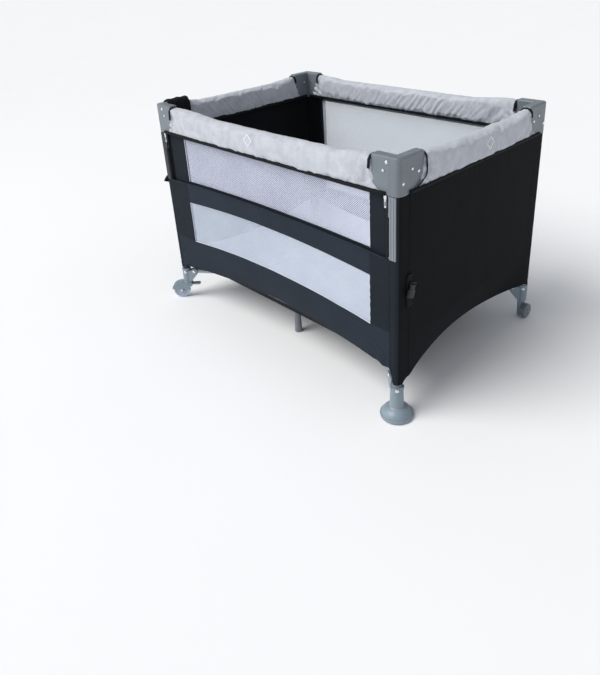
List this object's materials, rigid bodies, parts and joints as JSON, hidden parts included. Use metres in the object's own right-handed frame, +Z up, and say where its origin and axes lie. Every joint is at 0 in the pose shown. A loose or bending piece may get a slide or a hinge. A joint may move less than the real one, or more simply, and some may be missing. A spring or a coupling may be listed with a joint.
{
  "type": "playpen",
  "caption": "Folding travel playpen with a drop side, mesh windows, padded top rails, umbrella base frame and braked casters.",
  "frame": {"origin": "on the floor under the middle of the playpen", "axes": "+X along the length towards the fixed feet, -Y towards the drop side, +Z up"},
  "size_m": [1.1147, 0.7974, 0.752],
  "materials": {
    "frame": "satin grey painted tube",
    "plastic": "grey moulded plastic",
    "foot": "blue grey moulded plastic",
    "wheel": "light grey tread",
    "button": "black moulded plastic",
    "dark_cloth": "dark polyester cloth",
    "grey_cloth": "grey melange padded cloth",
    "net": "fine light netting",
    "pad": "light grey padded cloth",
    "zip": "plated zip slider"
  },
  "bodies": {
    "hub": {"centre_hub": "plastic", "floor_tray": "dark_cloth", "floor_pad": "pad", "front_wall": "dark_cloth", "back_wall": "dark_cloth", "left_wall": "dark_cloth", "right_wall": "dark_cloth", "front_mesh": "net", "back_mesh": "net"},
    "base_front_right": {"base_tube_front_right": "frame"},
    "leg_front_right": {"leg_tube_front_right": "frame", "corner_housing_front_right": "plastic", "bell_foot_front_right": "foot"},
    "base_front_left": {"base_tube_front_left": "frame"},
    "leg_front_left": {"leg_tube_front_left": "frame", "corner_housing_front_left": "plastic", "caster_bracket_front_left": "foot"},
    "base_back_left": {"base_tube_back_left": "frame"},
    "leg_back_left": {"leg_tube_back_left": "frame", "corner_housing_back_left": "plastic", "caster_bracket_back_left": "foot"},
    "base_back_right": {"base_tube_back_right": "frame"},
    "leg_back_right": {"leg_tube_back_right": "frame", "corner_housing_back_right": "plastic", "wheel_bracket_back_right": "foot"},
    "centre_leg_front": {"centre_leg_front": "foot"},
    "centre_leg_back": {"centre_leg_back": "foot"},
    "drop_right": {"drop_bracket_right": "plastic"},
    "drop_left": {"drop_bracket_left": "plastic"},
    "rail_front_right": {"top_rail_front_right": "frame"},
    "rail_back_right": {"top_rail_back_right": "frame"},
    "rail_right_front": {"top_rail_right_front": "frame"},
    "rail_right_back": {"top_rail_right_back": "frame"},
    "rail_front_left": {"top_rail_front_left": "frame"},
    "rail_back_left": {"top_rail_back_left": "frame"},
    "rail_left_front": {"top_rail_left_front": "frame"},
    "rail_left_back": {"top_rail_left_back": "frame"},
    "latch_front": {"rail_latch_front": "plastic", "rail_sleeve_front": "grey_cloth", "drop_panel": "dark_cloth", "drop_mesh": "net"},
    "button_front": {"release_button_front": "button"},
    "latch_back": {"rail_latch_back": "plastic", "rail_sleeve_back": "grey_cloth"},
    "button_back": {"release_button_back": "button"},
    "latch_right": {"rail_latch_right": "plastic", "rail_sleeve_right": "grey_cloth"},
    "button_right": {"release_button_right": "button"},
    "latch_left": {"rail_latch_left": "plastic", "rail_sleeve_left": "grey_cloth"},
    "button_left": {"release_button_left": "button"},
    "fork_front_left": {"caster_fork_front_left": "foot"},
    "wheel_front_left": {"caster_wheel_front_left": "wheel"},
    "brake_front_left": {"caster_brake_front_left": "button"},
    "fork_back_left": {"caster_fork_back_left": "foot"},
    "wheel_back_left": {"caster_wheel_back_left": "wheel"},
    "brake_back_left": {"caster_brake_back_left": "button"},
    "wheel_back_right": {"transport_wheel_back_right": "wheel"},
    "zip_right": {"zipper_pull_right": "zip"},
    "zip_left": {"zipper_pull_left": "zip"}
  },
  "joints": [
    {"name": "fold", "type": "hinge", "parent": "hub", "child": "base_front_right", "pos_m": [0.04964, -0.03371, 0.112], "axis": [0.5618, 0.8273, 0], "range_deg": [0, 82], "deforming": ["floor_tray", "floor_pad", "front_wall", "back_wall", "left_wall", "right_wall", "front_mesh", "back_mesh", "rail_sleeve_front", "rail_sleeve_back", "rail_sleeve_left", "rail_sleeve_right"]},
    {"name": "fold_leg_front_right", "type": "hinge", "parent": "base_front_right", "child": "leg_front_right", "pos_m": [0.47987, -0.3259, 0.112], "axis": [0.5618, 0.8273, 0], "range_deg": [-82, 0]},
    {"name": "fold_base_front_left", "type": "hinge", "parent": "hub", "child": "base_front_left", "pos_m": [-0.04964, -0.03371, 0.112], "axis": [0.5618, -0.8273, 0], "range_deg": [0, 82]},
    {"name": "fold_leg_front_left", "type": "hinge", "parent": "base_front_left", "child": "leg_front_left", "pos_m": [-0.47987, -0.3259, 0.112], "axis": [0.5618, -0.8273, 0], "range_deg": [-82, 0]},
    {"name": "fold_base_back_left", "type": "hinge", "parent": "hub", "child": "base_back_left", "pos_m": [-0.04964, 0.03371, 0.112], "axis": [-0.5618, -0.8273, 0], "range_deg": [0, 82]},
    {"name": "fold_leg_back_left", "type": "hinge", "parent": "base_back_left", "child": "leg_back_left", "pos_m": [-0.47987, 0.3259, 0.112], "axis": [-0.5618, -0.8273, 0], "range_deg": [-82, 0]},
    {"name": "fold_base_back_right", "type": "hinge", "parent": "hub", "child": "base_back_right", "pos_m": [0.04964, 0.03371, 0.112], "axis": [-0.5618, 0.8273, 0], "range_deg": [0, 82]},
    {"name": "fold_leg_back_right", "type": "hinge", "parent": "base_back_right", "child": "leg_back_right", "pos_m": [0.47987, 0.3259, 0.112], "axis": [-0.5618, 0.8273, 0], "range_deg": [-82, 0]},
    {"name": "fold_centre_leg_front", "type": "hinge", "parent": "hub", "child": "centre_leg_front", "pos_m": [-0.009, -0.06, 0.112], "axis": [1, 0, 0], "range_deg": [0, 82]},
    {"name": "fold_centre_leg_back", "type": "hinge", "parent": "hub", "child": "centre_leg_back", "pos_m": [0.02, 0.06, 0.112], "axis": [-1, 0, 0], "range_deg": [0, 82]},
    {"name": "drop_side", "type": "slide", "parent": "leg_front_right", "child": "drop_right", "axis": [0, 0, 1], "range_m": [-0.16, 0], "deforming": ["drop_panel", "drop_mesh"]},
    {"name": "drop_side_left", "type": "slide", "parent": "leg_front_left", "child": "drop_left", "axis": [0, 0, 1], "range_m": [-0.16, 0]},
    {"name": "fold_rail_front_right", "type": "hinge", "parent": "drop_right", "child": "rail_front_right", "pos_m": [0.47524, -0.345, 0.716], "axis": [0, -1, 0], "range_deg": [0, 82]},
    {"name": "fold_rail_back_right", "type": "hinge", "parent": "leg_back_right", "child": "rail_back_right", "pos_m": [0.47524, 0.345, 0.716], "axis": [0, -1, 0], "range_deg": [0, 82]},
    {"name": "fold_rail_right_front", "type": "hinge", "parent": "leg_front_right", "child": "rail_right_front", "pos_m": [0.508, -0.31019, 0.716], "axis": [-1, 0, 0], "range_deg": [0, 82]},
    {"name": "fold_rail_right_back", "type": "hinge", "parent": "leg_back_right", "child": "rail_right_back", "pos_m": [0.508, 0.31019, 0.716], "axis": [1, 0, 0], "range_deg": [0, 82]},
    {"name": "fold_rail_front_left", "type": "hinge", "parent": "drop_left", "child": "rail_front_left", "pos_m": [-0.47524, -0.345, 0.716], "axis": [0, 1, 0], "range_deg": [0, 82]},
    {"name": "fold_rail_back_left", "type": "hinge", "parent": "leg_back_left", "child": "rail_back_left", "pos_m": [-0.47524, 0.345, 0.716], "axis": [0, 1, 0], "range_deg": [0, 82]},
    {"name": "fold_rail_left_front", "type": "hinge", "parent": "leg_front_left", "child": "rail_left_front", "pos_m": [-0.508, -0.31019, 0.716], "axis": [-1, 0, 0], "range_deg": [0, 82]},
    {"name": "fold_rail_left_back", "type": "hinge", "parent": "leg_back_left", "child": "rail_left_back", "pos_m": [-0.508, 0.31019, 0.716], "axis": [1, 0, 0], "range_deg": [0, 82]},
    {"name": "fold_latch_front", "type": "hinge", "parent": "rail_front_right", "child": "latch_front", "pos_m": [0.045, -0.345, 0.716], "axis": [0, -1, 0], "range_deg": [-82, 0]},
    {"name": "press_button_front", "type": "slide", "parent": "latch_front", "child": "button_front", "axis": [0, 0, 1], "range_m": [0, 0.006], "stiffness_N_per_m": 150},
    {"name": "fold_latch_back", "type": "hinge", "parent": "rail_back_left", "child": "latch_back", "pos_m": [-0.045, 0.345, 0.716], "axis": [0, 1, 0], "range_deg": [-82, 0]},
    {"name": "press_button_back", "type": "slide", "parent": "latch_back", "child": "button_back", "axis": [0, 0, 1], "range_m": [0, 0.006], "stiffness_N_per_m": 150},
    {"name": "fold_latch_right", "type": "hinge", "parent": "rail_right_front", "child": "latch_right", "pos_m": [0.508, -0.018, 0.716], "axis": [-1, 0, 0], "range_deg": [-82, 0]},
    {"name": "press_button_right", "type": "slide", "parent": "latch_right", "child": "button_right", "axis": [0, 0, 1], "range_m": [0, 0.006], "stiffness_N_per_m": 150},
    {"name": "fold_latch_left", "type": "hinge", "parent": "rail_left_front", "child": "latch_left", "pos_m": [-0.508, -0.018, 0.716], "axis": [-1, 0, 0], "range_deg": [-82, 0]},
    {"name": "press_button_left", "type": "slide", "parent": "latch_left", "child": "button_left", "axis": [0, 0, 1], "range_m": [0, 0.006], "stiffness_N_per_m": 150},
    {"name": "swivel_front_left", "type": "hinge", "parent": "leg_front_left", "child": "fork_front_left", "pos_m": [-0.508, -0.345, 0.065], "axis": [0, 0, 1], "continuous": true},
    {"name": "roll_front_left", "type": "hinge", "parent": "fork_front_left", "child": "wheel_front_left", "pos_m": [-0.5278, -0.3648, 0.031], "axis": [0.7071, -0.7071, 0], "continuous": true},
    {"name": "press_brake_front_left", "type": "hinge", "parent": "fork_front_left", "child": "brake_front_left", "pos_m": [-0.50234, -0.33934, 0.055], "axis": [0.7071, -0.7071, 0], "range_deg": [-18, 0]},
    {"name": "swivel_back_left", "type": "hinge", "parent": "leg_back_left", "child": "fork_back_left", "pos_m": [-0.508, 0.345, 0.065], "axis": [0, 0, 1], "continuous": true},
    {"name": "roll_back_left", "type": "hinge", "parent": "fork_back_left", "child": "wheel_back_left", "pos_m": [-0.5278, 0.3648, 0.031], "axis": [-0.7071, -0.7071, 0], "continuous": true},
    {"name": "press_brake_back_left", "type": "hinge", "parent": "fork_back_left", "child": "brake_back_left", "pos_m": [-0.50234, 0.33934, 0.055], "axis": [-0.7071, -0.7071, 0], "range_deg": [-18, 0]},
    {"name": "roll_back_right", "type": "hinge", "parent": "leg_back_right", "child": "wheel_back_right", "pos_m": [0.528, 0.345, 0.0254], "axis": [1, 0, 0], "continuous": true},
    {"name": "zip_right", "type": "slide", "parent": "leg_front_right", "child": "zip_right", "axis": [0, 0, 1], "range_m": [-0.16, 0]},
    {"name": "zip_left", "type": "slide", "parent": "leg_front_left", "child": "zip_left", "axis": [0, 0, 1], "range_m": [-0.16, 0]}
  ],
  "couplings": [
    {"joint": "fold_leg_front_right", "follows": "fold", "ratio": -1},
    {"joint": "fold_base_front_left", "follows": "fold", "ratio": 1},
    {"joint": "fold_leg_front_left", "follows": "fold", "ratio": -1},
    {"joint": "fold_base_back_left", "follows": "fold", "ratio": 1},
    {"joint": "fold_leg_back_left", "follows": "fold", "ratio": -1},
    {"joint": "fold_base_back_right", "follows": "fold", "ratio": 1},
    {"joint": "fold_leg_back_right", "follows": "fold", "ratio": -1},
    {"joint": "fold_centre_leg_front", "follows": "fold", "ratio": 1},
    {"joint": "fold_centre_leg_back", "follows": "fold", "ratio": 1},
    {"joint": "drop_side_left", "follows": "drop_side", "ratio": 1},
    {"joint": "fold_rail_front_right", "follows": "fold", "ratio": 1},
    {"joint": "fold_rail_back_right", "follows": "fold", "ratio": 1},
    {"joint": "fold_rail_right_front", "follows": "fold", "ratio": 1},
    {"joint": "fold_rail_right_back", "follows": "fold", "ratio": 1},
    {"joint": "fold_rail_front_left", "follows": "fold", "ratio": 1},
    {"joint": "fold_rail_back_left", "follows": "fold", "ratio": 1},
    {"joint": "fold_rail_left_front", "follows": "fold", "ratio": 1},
    {"joint": "fold_rail_left_back", "follows": "fold", "ratio": 1},
    {"joint": "fold_latch_front", "follows": "fold", "ratio": -1},
    {"joint": "fold_latch_back", "follows": "fold", "ratio": -1},
    {"joint": "fold_latch_right", "follows": "fold", "ratio": -1},
    {"joint": "fold_latch_left", "follows": "fold", "ratio": -1},
    {"joint": "zip_right", "follows": "drop_side", "ratio": 1},
    {"joint": "zip_left", "follows": "drop_side", "ratio": 1}
  ]
}
